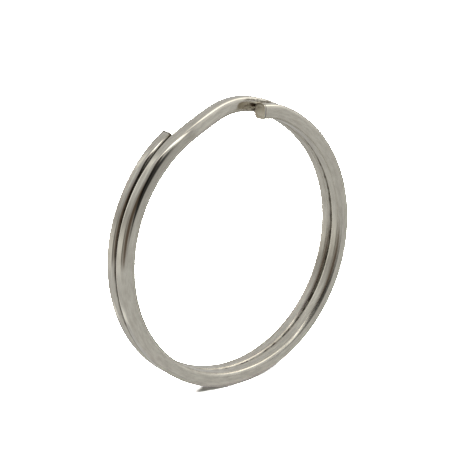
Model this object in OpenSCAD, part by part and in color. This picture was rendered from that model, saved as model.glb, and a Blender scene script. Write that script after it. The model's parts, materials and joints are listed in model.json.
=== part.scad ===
// Split key ring, standing upright: the ring's axis is Y, its front faces -Y,
// and the origin is the centre of the ring. All sizes are in millimetres.
//
// The ring is one flattened spring wire, coiled into a front turn and a rear
// turn that lie against each other. A stepped crossover carries the wire from
// one turn to the other. Each turn ends in a square cut close to the
// crossover, and bends when that end is pried open. The bending length is cut
// into short stretches, one for each hinge of the motion.

/* [Ring] */
// Outside diameter of the coil
outer_d = 30; // [22:0.5:45]
// Width of the wire across the ring, from its outside to its inside
wire_w = 1.6; // [1.2:0.05:2.4]
// Thickness of the wire along the ring's axis
wire_t = 1.5; // [1.1:0.05:2.2]
// Radius along the four long edges of the wire
edge_r = 0.5; // [0.2:0.05:0.5]
// Air left between the two turns
turn_gap = 0.06; // [0.05:0.01:0.2]

/* [Crossover] */
// Clock angle of the crossover's middle, from +X towards +Z
cross_at = 99.5; // [0:0.5:359.5]
// Angle from the crossover's middle to where it meets each turn
cross_half = 18; // [14:0.5:21]
// How far the crossover bulges outwards at its middle
cross_bulge = 0.25; // [0:0.05:0.5]

/* [Ends] */
// Angle left open between the crossover and the front turn's cut end
front_end_gap = 1; // [0.5:0.1:20]
// Angle left open between the crossover and the rear turn's cut end
rear_end_gap = 4; // [0.5:0.1:20]

/* [Flex] */
// Angle over which each turn bends, measured back from its cut end
flex_arc = 180; // [120:5:210]
// Width of the cut between neighbouring stretches
cut = 0.05; // [0.04:0.01:0.1]

/* [Hidden] */

$fn = 96;
nickel = [0.65, 0.63, 0.59];
nickel_dark = [0.58, 0.56, 0.52];
nickel_light = [0.72, 0.70, 0.66];

stretches = 6;                            // stretches that each turn bends in
mid_r = outer_d / 2 - wire_w / 2;         // radius of the wire's centre line
turn_z = (wire_t + turn_gap) / 2;         // a turn's middle plane, off the ring's own
cut_angle = cut / mid_r * 180 / PI;
flex_step = flex_arc / stretches;
corner_points = 6;                        // points round each edge of the swept wire
sweep_rings = 36;                         // steps along the crossover

// Where a turn's cut end is, as an angle along the wire from the crossover's middle
function end_angle(side) = 360 - cross_half - (side > 0 ? front_end_gap : rear_end_gap);

// Where a turn's bending length starts, counted the same way
function flex_from(side) = end_angle(side) - flex_arc;

// Everything is drawn with the ring's axis along Z and its front up. Stand it up.
module stand() {
    rotate([90, 0, 0]) children();
}

// The wire's outline, centred, with its width along X
module wire_outline() {
    square([wire_w - 2 * edge_r, wire_t], center = true);
    square([wire_w, wire_t - 2 * edge_r], center = true);
    for (x = [-1, 1], y = [-1, 1])
        translate([x * (wire_w / 2 - edge_r), y * (wire_t / 2 - edge_r)])
            circle(r = edge_r);
}

// A length of one turn. side is 1 for the front turn and -1 for the rear one.
// from and to are angles along the wire, counted from the crossover's middle.
module wire_arc(side, from, to) {
    stand()
        rotate([0, 0, cross_at + (side > 0 ? from : -to)])
            rotate_extrude(angle = to - from)
                translate([mid_r, side * turn_z])
                    wire_outline();
}

// The turn's stiff length, from the crossover to where it starts to bend
module stiff_turn(side) {
    wire_arc(side, cross_half, flex_from(side) - cut_angle / 2);
}

// One bending stretch, with number 1 next to the stiff length
module flex_stretch(side, number) {
    from = flex_from(side) + (number - 1) * flex_step + cut_angle / 2;
    is_last = number == stretches;
    to = is_last ? end_angle(side) : flex_from(side) + number * flex_step - cut_angle / 2;
    wire_arc(side, from, to);
}

// The wire's outline as points, [across, along the ring's axis], for the sweep
function outline_points() = [
    for (q = [0:3], i = [0:corner_points - 1])
        let (a = 90 * q + 90 * i / (corner_points - 1))
            [
                (q == 0 || q == 3 ? 1 : -1) * (wire_w / 2 - edge_r) + edge_r * cos(a),
                (q < 2 ? 1 : -1) * (wire_t / 2 - edge_r) + edge_r * sin(a)
            ]
];

// The crossover's centre line. u runs from -1 on the rear turn to 1 on the front.
function cross_r(u) = mid_r + cross_bulge * pow(1 - u * u, 2);
function cross_z(u) = turn_z * u * (3 - u * u) / 2;

// Slope of the centre line towards the front, as an angle
function cross_slope(u) =
    atan2(turn_z * 1.5 * (1 - u * u), cross_r(u) * cross_half * PI / 180);

// Lean of the centre line away from the ring's round, as an angle
function cross_lean(u) =
    atan2(-4 * cross_bulge * u * (1 - u * u), cross_r(u) * cross_half * PI / 180);

// One outline of the sweep, square to the centre line
function cross_ring(u) =
    let (a = cross_at + u * cross_half, lean = cross_lean(u), slope = cross_slope(u))
        [
            for (p = outline_points())
                let (
                    out = p[0] * cos(lean),
                    along = -p[0] * sin(lean) - p[1] * sin(slope),
                    up = p[1] * cos(slope)
                )
                    [
                        (cross_r(u) + out) * cos(a) - along * sin(a),
                        (cross_r(u) + out) * sin(a) + along * cos(a),
                        cross_z(u) + up
                    ]
        ];

module crossover() {
    n = 4 * corner_points;
    points = [
        for (i = [0:sweep_rings])
            each cross_ring(2 * i / sweep_rings - 1)
    ];
    sides = [
        for (i = [0:sweep_rings - 1], j = [0:n - 1])
            let (k = (j + 1) % n)
                [i * n + j, (i + 1) * n + j, (i + 1) * n + k, i * n + k]
    ];
    first_cap = [for (j = [0:n - 1]) j];
    last_cap = [for (j = [n - 1:-1:0]) sweep_rings * n + j];
    color(nickel_light)
        stand()
            polyhedron(points = points, faces = concat(sides, [first_cap, last_cap]));
}

module front_turn() {
    color(nickel) stiff_turn(1);
}

module rear_turn() {
    color(nickel) stiff_turn(-1);
}

module front_flex(number) {
    color(number % 2 == 0 ? nickel : nickel_dark) flex_stretch(1, number);
}

module rear_flex(number) {
    color(number % 2 == 0 ? nickel : nickel_dark) flex_stretch(-1, number);
}

crossover();
front_turn();
front_flex(1);  // front_flex_1
front_flex(2);  // front_flex_2
front_flex(3);  // front_flex_3
front_flex(4);  // front_flex_4
front_flex(5);  // front_flex_5
front_flex(stretches);  // front_end
rear_turn();
rear_flex(1);  // rear_flex_1
rear_flex(2);  // rear_flex_2
rear_flex(3);  // rear_flex_3
rear_flex(4);  // rear_flex_4
rear_flex(5);  // rear_flex_5
rear_flex(stretches);  // rear_end
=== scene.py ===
import bpy
import json
import math
from mathutils import Matrix, Vector


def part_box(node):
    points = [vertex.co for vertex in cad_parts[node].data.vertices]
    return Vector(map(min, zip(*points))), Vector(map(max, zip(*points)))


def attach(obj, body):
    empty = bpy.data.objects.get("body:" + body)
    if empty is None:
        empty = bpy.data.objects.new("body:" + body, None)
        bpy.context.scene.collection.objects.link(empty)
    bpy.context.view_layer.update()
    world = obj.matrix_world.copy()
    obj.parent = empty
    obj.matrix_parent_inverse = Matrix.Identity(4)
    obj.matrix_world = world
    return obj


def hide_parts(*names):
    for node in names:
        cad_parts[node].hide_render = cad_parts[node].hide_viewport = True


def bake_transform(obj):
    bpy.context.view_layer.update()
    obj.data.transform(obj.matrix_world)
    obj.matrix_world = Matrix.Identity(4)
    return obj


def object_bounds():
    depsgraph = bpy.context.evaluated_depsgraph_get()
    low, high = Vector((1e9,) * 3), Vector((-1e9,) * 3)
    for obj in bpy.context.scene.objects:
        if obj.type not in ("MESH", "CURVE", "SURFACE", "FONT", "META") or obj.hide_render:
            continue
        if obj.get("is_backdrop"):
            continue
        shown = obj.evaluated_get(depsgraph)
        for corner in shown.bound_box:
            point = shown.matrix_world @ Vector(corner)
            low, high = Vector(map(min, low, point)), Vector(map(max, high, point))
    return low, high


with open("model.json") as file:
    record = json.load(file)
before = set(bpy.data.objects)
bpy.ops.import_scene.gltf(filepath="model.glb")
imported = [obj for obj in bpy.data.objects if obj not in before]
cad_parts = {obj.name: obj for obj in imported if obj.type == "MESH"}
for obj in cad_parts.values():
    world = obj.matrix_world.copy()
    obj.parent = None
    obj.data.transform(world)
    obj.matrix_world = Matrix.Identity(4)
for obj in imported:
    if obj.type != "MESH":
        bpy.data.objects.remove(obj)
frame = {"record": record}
cadLow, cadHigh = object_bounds()

mm = 0.001
deg = math.pi / 180


def hexColour(code):
    # sRGB hex to the linear colour that sockets take
    parts = [int(code[i:i + 2], 16) / 255 for i in (0, 2, 4)]
    linear = [c / 12.92 if c <= 0.04045 else ((c + 0.055) / 1.055) ** 2.4 for c in parts]
    return (*linear, 1.0)


def addNode(tree, kind, settings=None, links=None):
    # one node, its settings, and what goes into its sockets: another socket or a value
    node = tree.nodes.new(kind)
    for name, value in (settings or {}).items():
        setattr(node, name, value)
    for name, value in (links or {}).items():
        socket = node.inputs[name]
        if isinstance(value, bpy.types.NodeSocket):
            tree.links.new(value, socket)
        else:
            socket.default_value = value
    return node


# the wire's sizes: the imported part's own, with the angles that it was wound to
frontLow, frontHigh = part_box("front_turn")
mounts = {m["name"]: m for m in frame["record"]["mounts"]}
boreRadius = mounts["ring_bore"]["dims"]["r_mm"] * mm

wire = {
    "width": -frontLow.x - boreRadius,          # across the ring, outside to inside
    "thickness": frontHigh.y - frontLow.y + 0.045 * mm,   # along the axis: the turns all but touch
    "edgeRadius": 0.5 * mm,
    "crossAt": 99.5,                            # clock angle of the crossover's middle
    "crossHalf": 18.0,                          # from there to where it meets each turn
    "crossBulge": 0.24 * mm,
    "bulgeAt": -17.0,                           # the wire bulges most where it passes the front cut end
    "bulgeHalf": 30.0,
    "frontEnd": 341.0,                          # cut ends, counted along the wire
    "rearEnd": 338.0,
    "flexArc": 180.0,                           # each turn's bending length, up to its cut end
    "hingeCount": 6,
}
wire["midRadius"] = -frontLow.x - wire["width"] / 2
wire["turnOffset"] = -(frontLow.y + frontHigh.y) / 2

cutEnd = {
    "edge": 0.08 * mm,        # rounding that the shear leaves round the end
    "groove": 0.06 * mm,      # nick that the shear's burr leaves behind the end
    "grooveAt": 0.13 * mm,    # its middle, back from the cut
    "grooveHalf": 0.06 * mm,
    "pullPast": 3.0,          # degrees past the cut where the bend would have been complete
    "rim": 0.8,               # share of the face inside the rim
    "dish": 0.045 * mm,       # depth
    "dishFloor": 0.72,        # share of that left at the bottom of the dish
    "found": 0.002 * mm,      # a cap this close to the cut is the cut itself
}

sweep = {
    "stepAngle": 0.5,
    "tipStep": 0.025 * mm,
    "outlinePoints": 96,
    "filletPoints": 12,
}


def buildWireTree(nickel, cutSteel):
    # the wire's outline swept along the rule that winds the ring
    tree = bpy.data.node_groups.new("wireAlongRing", "GeometryNodeTree")
    floats = [
        "From", "To", "Points", "Width", "Thickness", "Edge radius", "Mid radius", "Turn offset",
        "Cross at", "Cross half", "Cross bulge", "Bulge at", "Bulge half", "End angle", "Cut edge",
        "Groove", "Groove at", "Groove half", "Hook", "Hook angle", "Lift",
        "Taper", "Rim", "Dish", "Dish floor",
    ]
    for name in floats:
        kind = "NodeSocketInt" if name == "Points" else "NodeSocketFloat"
        tree.interface.new_socket(name=name, in_out="INPUT", socket_type=kind)
    tree.interface.new_socket(name="Geometry", in_out="OUTPUT", socket_type="NodeSocketGeometry")
    given = addNode(tree, "NodeGroupInput").outputs
    mathNode = "ShaderNodeMath"

    # a straight line whose X is the angle along the wire, in degrees
    start = addNode(tree, "ShaderNodeCombineXYZ", None, {"X": given["From"]}).outputs[0]
    end = addNode(tree, "ShaderNodeCombineXYZ", None, {"X": given["To"]}).outputs[0]
    line = addNode(tree, "GeometryNodeCurvePrimitiveLine", None, {"Start": start, "End": end})
    dense = addNode(tree, "GeometryNodeResampleCurve", {"mode": "COUNT"},
                    {"Curve": line.outputs[0], "Count": given["Points"]})
    place = addNode(tree, "GeometryNodeInputPosition").outputs[0]
    angle = addNode(tree, "ShaderNodeSeparateXYZ", None, {0: place}).outputs["X"]

    # along the crossover the wire steps from one turn's plane to the other's, and bulges outwards
    low = addNode(tree, mathNode, {"operation": "MULTIPLY"}, {0: given["Cross half"], 1: -1.0}).outputs[0]
    down = addNode(tree, mathNode, {"operation": "MULTIPLY"},
                   {0: given["Turn offset"], 1: -1.0}).outputs[0]
    height = addNode(tree, "ShaderNodeMapRange", {"interpolation_type": "SMOOTHSTEP"},
                     {"Value": angle, "From Min": low, "From Max": given["Cross half"],
                      "To Min": down, "To Max": given["Turn offset"]}).outputs[0]
    humpFrom = addNode(tree, mathNode, {"operation": "SUBTRACT"},
                       {0: given["Bulge at"], 1: given["Bulge half"]}).outputs[0]
    humpTo = addNode(tree, mathNode, {"operation": "ADD"},
                     {0: given["Bulge at"], 1: given["Bulge half"]}).outputs[0]
    share = addNode(tree, "ShaderNodeMapRange", {"clamp": True},
                    {"Value": angle, "From Min": humpFrom, "From Max": humpTo,
                     "To Min": -1.0, "To Max": 1.0}).outputs[0]
    squared = addNode(tree, mathNode, {"operation": "MULTIPLY"}, {0: share, 1: share}).outputs[0]
    inside = addNode(tree, mathNode, {"operation": "SUBTRACT"}, {0: 1.0, 1: squared}).outputs[0]
    hump = addNode(tree, mathNode, {"operation": "MULTIPLY"}, {0: inside, 1: inside}).outputs[0]
    bulged = addNode(tree, mathNode, {"operation": "MULTIPLY_ADD"},
                     {0: hump, 1: given["Cross bulge"], 2: given["Mid radius"]}).outputs[0]

    # the last stretch before a cut is pulled a little inwards
    turned = addNode(tree, mathNode, {"operation": "ABSOLUTE"}, {0: angle}).outputs[0]
    fromTip = addNode(tree, mathNode, {"operation": "SUBTRACT"},
                      {0: given["End angle"], 1: turned}).outputs[0]
    nearTip = addNode(tree, "ShaderNodeMapRange", {"interpolation_type": "SMOOTHSTEP"},
                      {"Value": fromTip, "From Min": given["Hook angle"],
                       "From Max": -cutEnd["pullPast"]}).outputs[0]
    pull = addNode(tree, mathNode, {"operation": "MULTIPLY"}, {0: nearTip, 1: given["Hook"]}).outputs[0]
    radius = addNode(tree, mathNode, {"operation": "SUBTRACT"}, {0: bulged, 1: pull}).outputs[0]

    # round the ring
    clock = addNode(tree, mathNode, {"operation": "ADD"}, {0: angle, 1: given["Cross at"]}).outputs[0]
    clockRadians = addNode(tree, mathNode, {"operation": "RADIANS"}, {0: clock}).outputs[0]
    raised = addNode(tree, mathNode, {"operation": "MULTIPLY"}, {0: nearTip, 1: given["Lift"]}).outputs[0]
    level = addNode(tree, mathNode, {"operation": "ADD"}, {0: height, 1: raised}).outputs[0]
    spoke = addNode(tree, "ShaderNodeCombineXYZ", None, {"X": radius, "Z": level}).outputs[0]
    onRing = addNode(tree, "ShaderNodeVectorRotate", {"rotation_type": "Z_AXIS"},
                     {"Vector": spoke, "Angle": clockRadians}).outputs[0]

    # length along the wire in metres, kept for the material and to find the cut faces
    radians = addNode(tree, mathNode, {"operation": "RADIANS"}, {0: angle}).outputs[0]
    length = addNode(tree, mathNode, {"operation": "MULTIPLY"},
                     {0: radians, 1: given["Mid radius"]}).outputs[0]
    kept = addNode(tree, "GeometryNodeStoreNamedAttribute", {"data_type": "FLOAT", "domain": "POINT"},
                   {"Geometry": dense.outputs[0], "Name": "wireLength", "Value": length})

    # the outline shrinks over the last fraction of a millimetre, which rounds the cut's edge
    tipRadians = addNode(tree, mathNode, {"operation": "RADIANS"}, {0: fromTip}).outputs[0]
    tipLength = addNode(tree, mathNode, {"operation": "MULTIPLY"},
                        {0: tipRadians, 1: given["Mid radius"]}).outputs[0]
    across = addNode(tree, "ShaderNodeMapRange", {"clamp": True},
                     {"Value": tipLength, "From Min": 0.0, "From Max": given["Cut edge"],
                      "To Min": 1.0, "To Max": 0.0}).outputs[0]
    bite = addNode(tree, mathNode, {"operation": "MULTIPLY"}, {0: across, 1: across}).outputs[0]
    left = addNode(tree, mathNode, {"operation": "SUBTRACT", "use_clamp": True},
                   {0: 1.0, 1: bite}).outputs[0]
    arc = addNode(tree, mathNode, {"operation": "SQRT"}, {0: left}).outputs[0]
    inset = addNode(tree, mathNode, {"operation": "SUBTRACT"}, {0: 1.0, 1: arc}).outputs[0]
    loss = addNode(tree, mathNode, {"operation": "DIVIDE"},
                   {0: given["Cut edge"], 1: given["Width"]}).outputs[0]
    both = addNode(tree, mathNode, {"operation": "MULTIPLY"}, {0: loss, 1: -2.0}).outputs[0]
    blunt = addNode(tree, mathNode, {"operation": "MULTIPLY_ADD"}, {0: inset, 1: both, 2: 1.0}).outputs[0]

    # and has a shallow nick just behind that edge
    nickFrom = addNode(tree, mathNode, {"operation": "SUBTRACT"},
                       {0: tipLength, 1: given["Groove at"]}).outputs[0]
    nickShare = addNode(tree, mathNode, {"operation": "DIVIDE"},
                        {0: nickFrom, 1: given["Groove half"]}).outputs[0]
    nickSquared = addNode(tree, mathNode, {"operation": "MULTIPLY"},
                          {0: nickShare, 1: nickShare}).outputs[0]
    nick = addNode(tree, mathNode, {"operation": "SUBTRACT", "use_clamp": True},
                   {0: 1.0, 1: nickSquared}).outputs[0]
    nickLoss = addNode(tree, mathNode, {"operation": "DIVIDE"},
                       {0: given["Groove"], 1: given["Width"]}).outputs[0]
    nickBoth = addNode(tree, mathNode, {"operation": "MULTIPLY"}, {0: nickLoss, 1: -2.0}).outputs[0]
    nicked = addNode(tree, mathNode, {"operation": "MULTIPLY_ADD"},
                     {0: nick, 1: nickBoth, 2: blunt}).outputs[0]
    thinner = addNode(tree, mathNode, {"operation": "MULTIPLY"},
                      {0: nearTip, 1: given["Taper"]}).outputs[0]
    scale = addNode(tree, mathNode, {"operation": "SUBTRACT"}, {0: nicked, 1: thinner}).outputs[0]
    tipKept = addNode(tree, "GeometryNodeStoreNamedAttribute", {"data_type": "FLOAT", "domain": "POINT"},
                      {"Geometry": kept.outputs[0], "Name": "wireTip", "Value": tipLength})
    sized = addNode(tree, "GeometryNodeSetCurveRadius", None,
                    {"Curve": tipKept.outputs[0], "Radius": scale})
    path = addNode(tree, "GeometryNodeSetPosition", None,
                   {"Geometry": sized.outputs[0], "Position": onRing})
    steady = addNode(tree, "GeometryNodeSetCurveNormal", {"mode": "Z_UP"}, {"Curve": path.outputs[0]})

    # the rolled wire's outline: a flat-sided section with well rounded edges
    flat = addNode(tree, "GeometryNodeCurvePrimitiveQuadrilateral", {"mode": "RECTANGLE"},
                   {"Width": given["Width"], "Height": given["Thickness"]})
    rounded = addNode(tree, "GeometryNodeFilletCurve", {"mode": "POLY"},
                      {"Curve": flat.outputs[0], "Radius": given["Edge radius"],
                       "Count": sweep["filletPoints"]})
    outline = addNode(tree, "GeometryNodeResampleCurve", {"mode": "COUNT"},
                      {"Curve": rounded.outputs[0], "Count": sweep["outlinePoints"]})
    section = addNode(tree, "GeometryNodeStoreNamedAttribute",
                      {"data_type": "FLOAT_VECTOR", "domain": "POINT"},
                      {"Geometry": outline.outputs[0], "Name": "wireSection", "Value": place})
    swept = addNode(tree, "GeometryNodeCurveToMesh", None,
                    {"Curve": steady.outputs[0], "Profile Curve": section.outputs[0], "Fill Caps": True})
    body = swept.outputs[0]
    if "Scale" in swept.inputs:
        tree.links.new(scale, swept.inputs["Scale"])

    # flat caps, smooth sides
    lengthHere = addNode(tree, "GeometryNodeInputNamedAttribute", {"data_type": "FLOAT"},
                         {"Name": "wireLength"}).outputs[0]
    corners = addNode(tree, "GeometryNodeInputMeshFaceNeighbors").outputs["Vertex Count"]
    isCap = addNode(tree, "FunctionNodeCompare", {"data_type": "INT", "operation": "GREATER_THAN"},
                    {2: corners, 3: 4}).outputs[0]
    notCap = addNode(tree, "FunctionNodeBooleanMath", {"operation": "NOT"}, {0: isCap}).outputs[0]
    shaded = addNode(tree, "GeometryNodeSetShadeSmooth", {"domain": "FACE"},
                     {"Geometry": body, "Shade Smooth": notCap})

    # a cap that is a real cut gets a rim and a shallow dish
    lengthSize = addNode(tree, mathNode, {"operation": "ABSOLUTE"}, {0: lengthHere}).outputs[0]
    endRadians = addNode(tree, mathNode, {"operation": "RADIANS"}, {0: given["End angle"]}).outputs[0]
    endLength = addNode(tree, mathNode, {"operation": "MULTIPLY_ADD"},
                        {0: endRadians, 1: given["Mid radius"], 2: -cutEnd["found"]}).outputs[0]
    atEnd = addNode(tree, mathNode, {"operation": "GREATER_THAN"},
                    {0: lengthSize, 1: endLength}).outputs[0]
    isCut = addNode(tree, "FunctionNodeBooleanMath", {"operation": "AND"}, {0: isCap, 1: atEnd}).outputs[0]
    rim = addNode(tree, "GeometryNodeExtrudeMesh", {"mode": "FACES"},
                  {"Mesh": shaded.outputs[0], "Selection": isCut, "Offset Scale": 0.0, "Individual": False})
    rimmed = addNode(tree, "GeometryNodeScaleElements", {"domain": "FACE"},
                     {"Geometry": rim.outputs["Mesh"], "Selection": rim.outputs["Top"],
                      "Scale": given["Rim"]})
    sunk = addNode(tree, mathNode, {"operation": "MULTIPLY"}, {0: given["Dish"], 1: -1.0}).outputs[0]
    dish = addNode(tree, "GeometryNodeExtrudeMesh", {"mode": "FACES"},
                   {"Mesh": rimmed.outputs[0], "Selection": rim.outputs["Top"],
                    "Offset Scale": sunk, "Individual": False})
    dished = addNode(tree, "GeometryNodeScaleElements", {"domain": "FACE"},
                     {"Geometry": dish.outputs["Mesh"], "Selection": dish.outputs["Top"],
                      "Scale": given["Dish floor"]})

    # stand the ring up, front towards -Y
    upright = addNode(tree, "GeometryNodeTransform", None,
                      {"Geometry": dished.outputs[0], "Rotation": (90 * deg, 0.0, 0.0)})
    realized = addNode(tree, "GeometryNodeRealizeInstances", None, {"Geometry": upright.outputs[0]})
    plated = addNode(tree, "GeometryNodeSetMaterial", None,
                     {"Geometry": realized.outputs[0], "Material": nickel})
    cutMask = addNode(tree, "FunctionNodeBooleanMath", {"operation": "OR"},
                      {0: rim.outputs["Side"], 1: dish.outputs["Side"]}).outputs[0]
    cutAll = addNode(tree, "FunctionNodeBooleanMath", {"operation": "OR"},
                     {0: cutMask, 1: dish.outputs["Top"]}).outputs[0]
    sheared = addNode(tree, "GeometryNodeSetMaterial", None,
                      {"Geometry": plated.outputs[0], "Selection": cutAll, "Material": cutSteel})
    addNode(tree, "NodeGroupOutput", None, {"Geometry": sheared.outputs[0]})
    return tree


plate = {
    "tint": "E0DCCF",          # nickel is a slightly warm grey
    "duller": "D0CBBE",        # the same where drawing the wire left it streaky
    "streakFrom": 0.35,        # shares of the noise between which the streaks fade in
    "streakTo": 0.65,
    "roughness": 0.072,
    "roughnessSpread": 0.02,
    "insideAt": -0.55 * mm,    # from the wire's middle towards the bore
    "insideRoughness": 0.17,   # added on the bore side, which the barrel never polished
    "lineSpacing": 0.11 * mm,  # drawing lines, coarser than the real 0.02 mm so that they show
    "lineStretch": 0.02,       # how much slower they change along the wire than across it
    "lineDepth": 0.0028 * mm,
    "lineBump": 0.5,
    "blotch": 3.0 * mm,
    "blotchFrom": 0.3,         # shares of the noise that give the smoothest and the roughest plating
    "blotchTo": 0.7,
    "crossLength": 8.5 * mm,   # the side with dirt and painted shade changes over within this length of the crossover's middle
    "dirtShadeFrom": 0.57 * mm,     # from the wire's middle towards the other turn
    "dirtShadeTo": 0.74 * mm,
    "spotSize": 0.3 * mm,
    "spotStretch": 0.25,
    "dirtShadeUneven": 0.14 * mm,
    # dark colour of the dirt and of the painted shade between the turns and in the nick behind each cut
    "dirtShadeTint": "463F34",
    "dirtShadeInside": 0.4,         # share of the dirt and painted shade left deeper between the turns, towards the bore
    "dirtShadeEdgeFrom": 0.25 * mm,
    "dirtShadeEdgeTo": 0.42 * mm,
    "stainFrom": -2.2 * mm,    # brown bloom, from where the crossover slips behind the front end
    "stainTo": -4.5 * mm,
    "stainFaceFrom": -0.6 * mm,    # only on the flat front of the wire
    "stainFaceTo": -0.73 * mm,
    "stainSpotFrom": 0.47,     # shares of the noise between which its spots fade in
    "stainSpotTo": 0.64,
    "stainTint": "4A3B2C",
    "stainRoughness": 0.3,
    "nickGrimeShade": 0.85,         # how much of the dark colour the nick behind a cut takes: grime plus painted shade along the cut's edge
}


def makeNickel():
    # bright nickel over drawn spring steel: warm grey mirror, softened by fine lines along the wire
    material = bpy.data.materials.new("nickelPlatedSpringSteel")
    material.use_nodes = True
    tree = material.node_tree
    tree.nodes.clear()
    length = addNode(tree, "ShaderNodeAttribute", {"attribute_name": "wireLength"}).outputs["Fac"]
    section = addNode(tree, "ShaderNodeAttribute", {"attribute_name": "wireSection"}).outputs["Vector"]
    split = addNode(tree, "ShaderNodeSeparateXYZ", None, {0: section})
    stretched = addNode(tree, "ShaderNodeMath", {"operation": "MULTIPLY"},
                        {0: length, 1: plate["lineStretch"]}).outputs[0]
    space = addNode(tree, "ShaderNodeCombineXYZ", None,
                    {"X": split.outputs["X"], "Y": split.outputs["Y"], "Z": stretched}).outputs[0]
    lines = addNode(tree, "ShaderNodeTexNoise", {"noise_dimensions": "3D"},
                    {"Vector": space, "Scale": 1 / plate["lineSpacing"], "Detail": 3.0,
                     "Roughness": 0.6}).outputs["Fac"]
    even = addNode(tree, "ShaderNodeCombineXYZ", None,
                   {"X": split.outputs["X"], "Y": split.outputs["Y"], "Z": length}).outputs[0]
    blotches = addNode(tree, "ShaderNodeTexNoise", {"noise_dimensions": "3D"},
                       {"Vector": even, "Scale": 1 / plate["blotch"], "Detail": 4.0,
                        "Roughness": 0.65}).outputs["Fac"]
    polished = addNode(tree, "ShaderNodeMapRange", None,
                       {"Value": blotches, "From Min": plate["blotchFrom"], "From Max": plate["blotchTo"],
                        "To Min": plate["roughness"] - plate["roughnessSpread"],
                        "To Max": plate["roughness"] + plate["roughnessSpread"]}).outputs[0]
    inside = addNode(tree, "ShaderNodeMapRange", {"interpolation_type": "SMOOTHSTEP"},
                     {"Value": split.outputs["X"], "From Min": 0.0, "From Max": plate["insideAt"],
                      "To Min": 0.0, "To Max": plate["insideRoughness"]}).outputs[0]
    clear = addNode(tree, "ShaderNodeMath", {"operation": "ADD"}, {0: polished, 1: inside}).outputs[0]
    onFront = addNode(tree, "ShaderNodeMapRange", {"interpolation_type": "SMOOTHSTEP"},
                      {"Value": split.outputs["Y"], "From Min": plate["stainFaceFrom"],
                       "From Max": plate["stainFaceTo"]}).outputs[0]
    onCross = addNode(tree, "ShaderNodeMapRange", {"interpolation_type": "SMOOTHSTEP"},
                      {"Value": length, "From Min": plate["stainFrom"],
                       "From Max": plate["stainTo"]}).outputs[0]
    bloom = addNode(tree, "ShaderNodeMath", {"operation": "MULTIPLY"}, {0: onFront, 1: onCross}).outputs[0]
    rough = addNode(tree, "ShaderNodeMath", {"operation": "MULTIPLY_ADD"},
                    {0: bloom, 1: plate["stainRoughness"], 2: clear}).outputs[0]
    bump = addNode(tree, "ShaderNodeBump", None,
                   {"Height": lines, "Strength": plate["lineBump"],
                    "Distance": plate["lineDepth"]}).outputs[0]

    # the side that lies against the other turn keeps dirt and oxide, and is darkened with painted shade
    # where the turns meet
    turn = addNode(tree, "ShaderNodeMapRange", {"clamp": True},
                   {"Value": length, "From Min": -plate["crossLength"], "From Max": plate["crossLength"],
                    "To Min": -1.0, "To Max": 1.0}).outputs[0]
    inner = addNode(tree, "ShaderNodeMath", {"operation": "MULTIPLY"},
                    {0: turn, 1: split.outputs["Y"]}).outputs[0]
    slower = addNode(tree, "ShaderNodeMath", {"operation": "MULTIPLY"},
                     {0: length, 1: plate["spotStretch"]}).outputs[0]
    along = addNode(tree, "ShaderNodeCombineXYZ", None,
                    {"X": split.outputs["X"], "Y": split.outputs["Y"], "Z": slower}).outputs[0]
    spots = addNode(tree, "ShaderNodeTexNoise", {"noise_dimensions": "3D"},
                    {"Vector": along, "Scale": 1 / plate["spotSize"], "Detail": 3.0,
                     "Roughness": 0.6}).outputs["Fac"]
    centred = addNode(tree, "ShaderNodeMath", {"operation": "SUBTRACT"}, {0: spots, 1: 0.5}).outputs[0]
    uneven = addNode(tree, "ShaderNodeMath", {"operation": "MULTIPLY_ADD"},
                     {0: centred, 1: plate["dirtShadeUneven"], 2: inner}).outputs[0]
    gapFacing = addNode(tree, "ShaderNodeMapRange", {"interpolation_type": "SMOOTHSTEP"},
                     {"Value": uneven, "From Min": plate["dirtShadeFrom"],
                      "From Max": plate["dirtShadeTo"]}).outputs[0]
    # less of the dirt and painted shade towards the bore
    kept = addNode(tree, "ShaderNodeMapRange", {"interpolation_type": "SMOOTHSTEP"},
                   {"Value": split.outputs["X"], "From Min": plate["dirtShadeEdgeFrom"],
                    "From Max": plate["dirtShadeEdgeTo"], "To Min": plate["dirtShadeInside"]}).outputs[0]
    dirtAndShade = addNode(tree, "ShaderNodeMath", {"operation": "MULTIPLY"}, {0: gapFacing, 1: kept}).outputs[0]
    streaks = addNode(tree, "ShaderNodeMapRange", {"clamp": True},
                      {"Value": spots, "From Min": plate["streakFrom"],
                       "From Max": plate["streakTo"]}).outputs[0]
    clean = addNode(tree, "ShaderNodeMix", {"data_type": "RGBA"},
                    {0: streaks, 6: hexColour(plate["tint"]), 7: hexColour(plate["duller"])}).outputs[2]
    dirtShaded = addNode(tree, "ShaderNodeMix", {"data_type": "RGBA"},
                    {0: dirtAndShade, 6: clean, 7: hexColour(plate["dirtShadeTint"])}).outputs[2]
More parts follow.
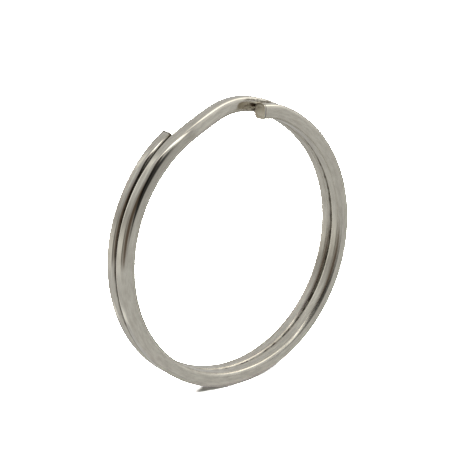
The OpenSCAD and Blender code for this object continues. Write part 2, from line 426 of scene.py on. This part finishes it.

    # a brown bloom sits in spots on the rear turn's front, and grime with painted shade darkens the nick
    # behind each cut
    spotty = addNode(tree, "ShaderNodeMapRange", {"interpolation_type": "SMOOTHSTEP"},
                     {"Value": spots, "From Min": plate["stainSpotFrom"],
                      "From Max": plate["stainSpotTo"]}).outputs[0]
    stain = addNode(tree, "ShaderNodeMath", {"operation": "MULTIPLY"}, {0: bloom, 1: spotty}).outputs[0]
    stained = addNode(tree, "ShaderNodeMix", {"data_type": "RGBA"},
                      {0: stain, 6: dirtShaded, 7: hexColour(plate["stainTint"])}).outputs[2]
    tip = addNode(tree, "ShaderNodeAttribute", {"attribute_name": "wireTip"}).outputs["Fac"]
    nickNear = addNode(tree, "ShaderNodeMapRange", {"interpolation_type": "SMOOTHSTEP"},
                       {"Value": tip, "From Min": cutEnd["edge"], "From Max": cutEnd["grooveAt"],
                        "To Max": plate["nickGrimeShade"]}).outputs[0]
    nickFar = addNode(tree, "ShaderNodeMapRange", {"interpolation_type": "SMOOTHSTEP"},
                      {"Value": tip, "From Min": cutEnd["grooveAt"],
                       "From Max": cutEnd["grooveAt"] + 2 * cutEnd["grooveHalf"],
                       "To Min": 1.0, "To Max": 0.0}).outputs[0]
    grimeAndShade = addNode(tree, "ShaderNodeMath", {"operation": "MULTIPLY"},
                    {0: nickNear, 1: nickFar}).outputs[0]
    colour = addNode(tree, "ShaderNodeMix", {"data_type": "RGBA"},
                     {0: grimeAndShade, 6: stained, 7: hexColour(plate["dirtShadeTint"])}).outputs[2]
    shader = addNode(tree, "ShaderNodeBsdfPrincipled", None,
                     {"Base Color": colour, "Metallic": 1.0,
                      "Roughness": rough, "Normal": bump})
    addNode(tree, "ShaderNodeOutputMaterial", None, {"Surface": shader.outputs[0]})
    return material


shear = {
    "tint": "E4DECC",
    "roughness": 0.5,
    "grain": 0.16 * mm,        # torn grain, far finer on real steel, as coarse as it needs to show
    "grainDepth": 0.012 * mm,
    "grainBump": 0.7,
}


def makeCutSteel():
    # spring steel where the wire was sheared off: rougher and duller than the plating round it
    material = bpy.data.materials.new("shearedSpringSteel")
    material.use_nodes = True
    tree = material.node_tree
    tree.nodes.clear()
    place = addNode(tree, "ShaderNodeTexCoord").outputs["Object"]
    grain = addNode(tree, "ShaderNodeTexNoise", {"noise_dimensions": "3D"},
                    {"Vector": place, "Scale": 1 / shear["grain"], "Detail": 5.0,
                     "Roughness": 0.7}).outputs["Fac"]
    bump = addNode(tree, "ShaderNodeBump", None,
                   {"Height": grain, "Strength": shear["grainBump"],
                    "Distance": shear["grainDepth"]}).outputs[0]
    shader = addNode(tree, "ShaderNodeBsdfPrincipled", None,
                     {"Base Color": hexColour(shear["tint"]), "Metallic": 1.0,
                      "Roughness": shear["roughness"], "Normal": bump})
    addNode(tree, "ShaderNodeOutputMaterial", None, {"Surface": shader.outputs[0]})
    return material


nickel = makeNickel()
cutSteel = makeCutSteel()
wireTree = buildWireTree(nickel, cutSteel)
print("materials and the wire's node tree are ready")


def sweepWire(name, fromAngle, toAngle, points, tip):
    # one length of the wire, made a plain mesh
    mesh = bpy.data.meshes.new(name)
    piece = bpy.data.objects.new(name, mesh)
    bpy.context.scene.collection.objects.link(piece)
    modifier = piece.modifiers.new("sweep", "NODES")
    modifier.node_group = wireTree
    values = {
        "From": fromAngle, "To": toAngle, "Points": points,
        "Width": wire["width"], "Thickness": wire["thickness"], "Edge radius": wire["edgeRadius"],
        "Mid radius": wire["midRadius"], "Turn offset": wire["turnOffset"],
        "Cross at": wire["crossAt"], "Cross half": wire["crossHalf"], "Cross bulge": wire["crossBulge"],
        "Bulge at": wire["bulgeAt"], "Bulge half": wire["bulgeHalf"],
        "End angle": tip["cut"], "Cut edge": cutEnd["edge"], "Groove": cutEnd["groove"],
        "Groove at": cutEnd["grooveAt"], "Groove half": cutEnd["grooveHalf"], "Hook": tip["hook"],
        "Hook angle": tip["hookAngle"], "Lift": tip["lift"], "Taper": tip["taper"],
        "Rim": cutEnd["rim"], "Dish": cutEnd["dish"], "Dish floor": cutEnd["dishFloor"],
    }
    for item in wireTree.interface.items_tree:
        if item.in_out == "INPUT":
            modifier[item.identifier] = values[item.name]
    bpy.context.view_layer.update()
    graph = bpy.context.evaluated_depsgraph_get()
    made = bpy.data.meshes.new_from_object(piece.evaluated_get(graph), preserve_all_data_layers=True,
                                           depsgraph=graph)
    piece.modifiers.remove(modifier)
    piece.data = made
    made.name = name
    bpy.data.meshes.remove(mesh)
    return piece


# how each turn's last stretch is finished: pulled inwards, lifted off the coil, and thinned
turns = {
    "front": {
        "side": 1, "end": wire["frontEnd"], "cut": wire["frontEnd"],
        "hook": 0.35 * mm, "hookAngle": 12.0, "lift": 0.0, "taper": 0.16,
    },
    "rear": {
        "side": -1, "end": wire["rearEnd"], "cut": wire["rearEnd"] - 0.8,
        "hook": -0.02 * mm, "hookAngle": 32.0, "lift": -0.2 * mm, "taper": 0.02,
    },
}
flexStep = wire["flexArc"] / wire["hingeCount"]
for turn in turns.values():
    # each bending length is centred on its hinge, so the rigid coil stops half a step before the first
    turn["stiffEnd"] = turn["end"] - wire["flexArc"] - flexStep / 2
coilFrom, coilTo = -turns["rear"]["stiffEnd"], turns["front"]["stiffEnd"]
coilPoints = round((coilTo - coilFrom) / sweep["stepAngle"]) + 1
coil = sweepWire("coil", coilFrom, coilTo, coilPoints, turns["front"])
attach(coil, "coil_root")
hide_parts("crossover", "front_turn", "rear_turn")
print("coil:", len(coil.data.polygons), "faces")

for name, turn in turns.items():
    side = turn["side"]
    flexes = [name + "_flex_" + str(k) for k in range(1, wire["hingeCount"])]
    chain = ["coil_root"] + flexes + [name + "_end"]
    for k in range(wire["hingeCount"]):
        near = turn["stiffEnd"] + k * flexStep
        far = near + flexStep
        low, high = sorted((side * near, side * far))
        spring = sweepWire(name + "Spring" + str(k + 1), low, high,
                           round(flexStep / sweep["stepAngle"]) + 1, turn)
        if k < wire["hingeCount"] - 1:
            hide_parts(chain[k + 1])
        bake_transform(spring)
    tipFrom = turn["end"] - flexStep / 2
    tipLength = flexStep / 2 * deg * wire["midRadius"]
    low, high = sorted((side * tipFrom, side * turn["cut"]))
    tip = sweepWire(name + "CutEnd", low, high, round(tipLength / sweep["tipStep"]) + 1, turn)
    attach(tip, chain[-1])
    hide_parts(chain[-1])
    print(name, "turn swept, cut end has", len(tip.data.polygons), "faces")


studio = {
    "floorSize": 4.0,
    "floorColour": "F2F1EE",
    "fill": 0.54,                # even light that the metal sees all round
    "horizon": (-17.0, -9.0),    # degrees over which the table gives way to the room
    "overhead": 80.0,            # for the paper only, which it keeps free of a hard shadow
    "overheadSpread": 100.0,
}
# everything in the room under a tilted line is dimmer, as the space under a window is
shadeWall = {
    "pole": (110.6, 44.8), "from": -0.14, "to": 0.22, "takes": (0.32, 0.336, 0.35),
}
# each soft box or dark card: where it is (degrees round from the front, degrees up), its lean,
# its half width and height in degrees, how soft its edge is, and what it adds or takes
softBoxes = [
    ((-10.1, 50.6), -75.4, (41.0, 14.0), 0.8, (0.04, 0.04, 0.04)),
    ((-12.0, 50.5), -45.0, (46.0, 3.6), 0.45, (1.5, 1.48, 1.43)),
    ((-138.0, -6.0), 0.0, (12.0, 11.0), 0.7, (0.4, 0.4, 0.385)),
    ((-164.0, -2.0), 90.0, (30.0, 5.5), 0.5, (1.15, 1.14, 1.11)),
    ((57.0, 53.0), -24.0, (30.0, 12.0), 0.5, (1.0, 0.965, 0.9)),
    ((70.0, 35.5), 38.0, (31.3, 24.0), 0.9, (0.28, 0.28, 0.28)),
    ((-145.5, 32.0), 18.0, (11.0, 18.0), 0.67, (0.12, 0.12, 0.12)),
    ((-70.0, -2.0), 0.0, (20.0, 12.0), 0.7, (0.04, 0.036, 0.032)),
]
roomCards = [
    ((-31.0, 38.0), -52.0, (37.0, 8.5), 0.3, (0.92, 0.93, 0.94)),
    ((-5.0, 13.0), -37.7, (47.0, 13.0), 0.31, (0.93, 0.93, 0.93)),
    ((-110.4, 1.4), 17.8, (17.1, 15.0), 0.58, (0.41, 0.44, 0.48)),
    ((-51.0, 12.0), -27.1, (31.0, 25.5), 0.4, (0.69, 0.76, 0.81)),
]
tableCards = [
    ((-176.1, -14.0), 12.7, (15.4, 18.2), 0.45, (0.69, 0.69, 0.69)),
    ((112.0, -54.0), -18.0, (32.0, 19.0), 0.9, (0.25, 0.25, 0.25)),
    ((-88.0, 53.5), 4.3, (23.0, 11.0), 0.88, (0.16, 0.16, 0.16)),
]


def pointing(place):
    # degrees round from the front and degrees up, as a direction
    around, up = place[0] * deg, place[1] * deg
    return Vector((math.sin(around) * math.cos(up), -math.cos(around) * math.cos(up), math.sin(up)))


def buildWorld():
    world = bpy.data.worlds.new("studio")
    bpy.context.scene.world = world
    world.use_nodes = True
    tree = world.node_tree
    tree.nodes.clear()
    vectorMath = "ShaderNodeVectorMath"
    direction = addNode(tree, "ShaderNodeTexCoord").outputs["Generated"]

    def glow(box, strength):
        # 1 inside the box, 0 outside it
        place, lean, halves, soft, amount = box
        centre = pointing(place)
        right = Vector((math.cos(place[0] * deg), math.sin(place[0] * deg), 0.0))
        up = centre.cross(right)
        along = right * math.cos(lean * deg) + up * math.sin(lean * deg)
        over = up * math.cos(lean * deg) - right * math.sin(lean * deg)
        turn = Matrix((along, over, centre)).transposed().to_euler()
        local = addNode(tree, "ShaderNodeMapping", {"vector_type": "TEXTURE"},
                        {"Vector": direction, "Location": centre, "Rotation": turn,
                         "Scale": (math.sin(halves[0] * deg), math.sin(halves[1] * deg), 1.0)}).outputs[0]
        far = addNode(tree, vectorMath, {"operation": "LENGTH"}, {0: local}).outputs["Value"]
        mask = addNode(tree, "ShaderNodeMapRange", {"interpolation_type": "SMOOTHSTEP"},
                       {"Value": far, "From Min": 1 - soft, "From Max": 1 + soft,
                        "To Min": 1.0, "To Max": 0.0}).outputs[0]
        if strength is not None:
            mask = addNode(tree, "ShaderNodeMath", {"operation": "MULTIPLY"},
                           {0: mask, 1: strength}).outputs[0]
        return addNode(tree, vectorMath, {"operation": "MULTIPLY"}, {0: mask, 1: amount}).outputs[0]

    def darken(light, share):
        left = addNode(tree, vectorMath, {"operation": "SUBTRACT"},
                       {0: (1.0, 1.0, 1.0), 1: share}).outputs[0]
        return addNode(tree, vectorMath, {"operation": "MULTIPLY"}, {0: light, 1: left}).outputs[0]

    rise = addNode(tree, "ShaderNodeSeparateXYZ", None, {0: direction}).outputs["Z"]
    room = addNode(tree, "ShaderNodeMapRange", {"interpolation_type": "SMOOTHSTEP"},
                   {"Value": rise, "From Min": math.sin(studio["horizon"][0] * deg),
                    "From Max": math.sin(studio["horizon"][1] * deg)}).outputs[0]
    side = addNode(tree, vectorMath, {"operation": "DOT_PRODUCT"},
                   {0: direction, 1: pointing(shadeWall["pole"])}).outputs["Value"]
    under = addNode(tree, "ShaderNodeMapRange", {"interpolation_type": "SMOOTHSTEP"},
                    {"Value": side, "From Min": shadeWall["from"], "From Max": shadeWall["to"],
                     "To Min": 1.0, "To Max": 0.0}).outputs[0]
    shaded = addNode(tree, "ShaderNodeMath", {"operation": "MULTIPLY"}, {0: under, 1: room}).outputs[0]
    shade = addNode(tree, vectorMath, {"operation": "MULTIPLY"},
                    {0: shaded, 1: shadeWall["takes"]}).outputs[0]
    light = darken((studio["fill"],) * 3, shade)
    for card in roomCards:
        light = darken(light, glow(card, room))
    for card in tableCards:
        light = darken(light, glow(card, None))
    for box in softBoxes:
        light = addNode(tree, vectorMath, {"operation": "ADD"}, {0: light, 1: glow(box, None)}).outputs[0]
    seen = addNode(tree, "ShaderNodeBackground", None, {"Color": light, "Strength": 1.0})
    plain = addNode(tree, "ShaderNodeBackground", None, {"Color": (1.0, 1.0, 1.0, 1.0), "Strength": 1.0})
    camera = addNode(tree, "ShaderNodeLightPath").outputs["Is Camera Ray"]
    mixed = addNode(tree, "ShaderNodeMixShader", None,
                    {0: camera, 1: seen.outputs[0], 2: plain.outputs[0]})
    addNode(tree, "ShaderNodeOutputWorld", None, {"Surface": mixed.outputs[0]})


buildWorld()

floorMesh = bpy.data.meshes.new("floor")
half = studio["floorSize"] / 2
ground = cadLow.z
corners = [(-half, -half, ground), (half, -half, ground), (half, half, ground), (-half, half, ground)]
floorMesh.from_pydata(corners, [], [(0, 1, 2, 3)])
floor = bpy.data.objects.new("floor", floorMesh)
bpy.context.scene.collection.objects.link(floor)
paper = bpy.data.materials.new("matWhitePaper")
paper.use_nodes = True
paper.node_tree.nodes.clear()
sheet = addNode(paper.node_tree, "ShaderNodeBsdfDiffuse", None,
                {"Color": hexColour(studio["floorColour"])})
addNode(paper.node_tree, "ShaderNodeOutputMaterial", None, {"Surface": sheet.outputs[0]})
floorMesh.materials.append(paper)
floor.visible_glossy = False                    # the metal sees the even light below instead
floor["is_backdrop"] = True

overheadData = bpy.data.lights.new("overhead", "SUN")
overheadData.energy = studio["overhead"]
overheadData.angle = studio["overheadSpread"] * deg
overhead = bpy.data.objects.new("overhead", overheadData)
overhead.visible_glossy = False                 # lights the paper only
bpy.context.scene.collection.objects.link(overhead)

view = {
    "towards": (-0.609, -0.737, 0.295),         # from the ring's centre to the camera
    "distance": 100.2 * mm,
    "lens": 74.5,
    "sensor": 36,
    "shift": (-0.0055, 0.0216),
    "clip": (5 * mm, 20),
}
cameraData = bpy.data.cameras.new("camera")
cameraData.lens = view["lens"]
cameraData.sensor_width = view["sensor"]
cameraData.shift_x, cameraData.shift_y = view["shift"]
cameraData.clip_start, cameraData.clip_end = view["clip"]
camera = bpy.data.objects.new("camera", cameraData)
bpy.context.scene.collection.objects.link(camera)
away = Vector(view["towards"]).normalized()
camera.location = away * view["distance"]
camera.rotation_mode = "QUATERNION"
camera.rotation_quaternion = (-away).to_track_quat("-Z", "Y")
bpy.context.scene.camera = camera
bpy.context.scene.view_settings.view_transform = "Standard"
bpy.context.scene.view_settings.look = "None"
print("floor, light and camera are in place")

low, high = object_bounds()
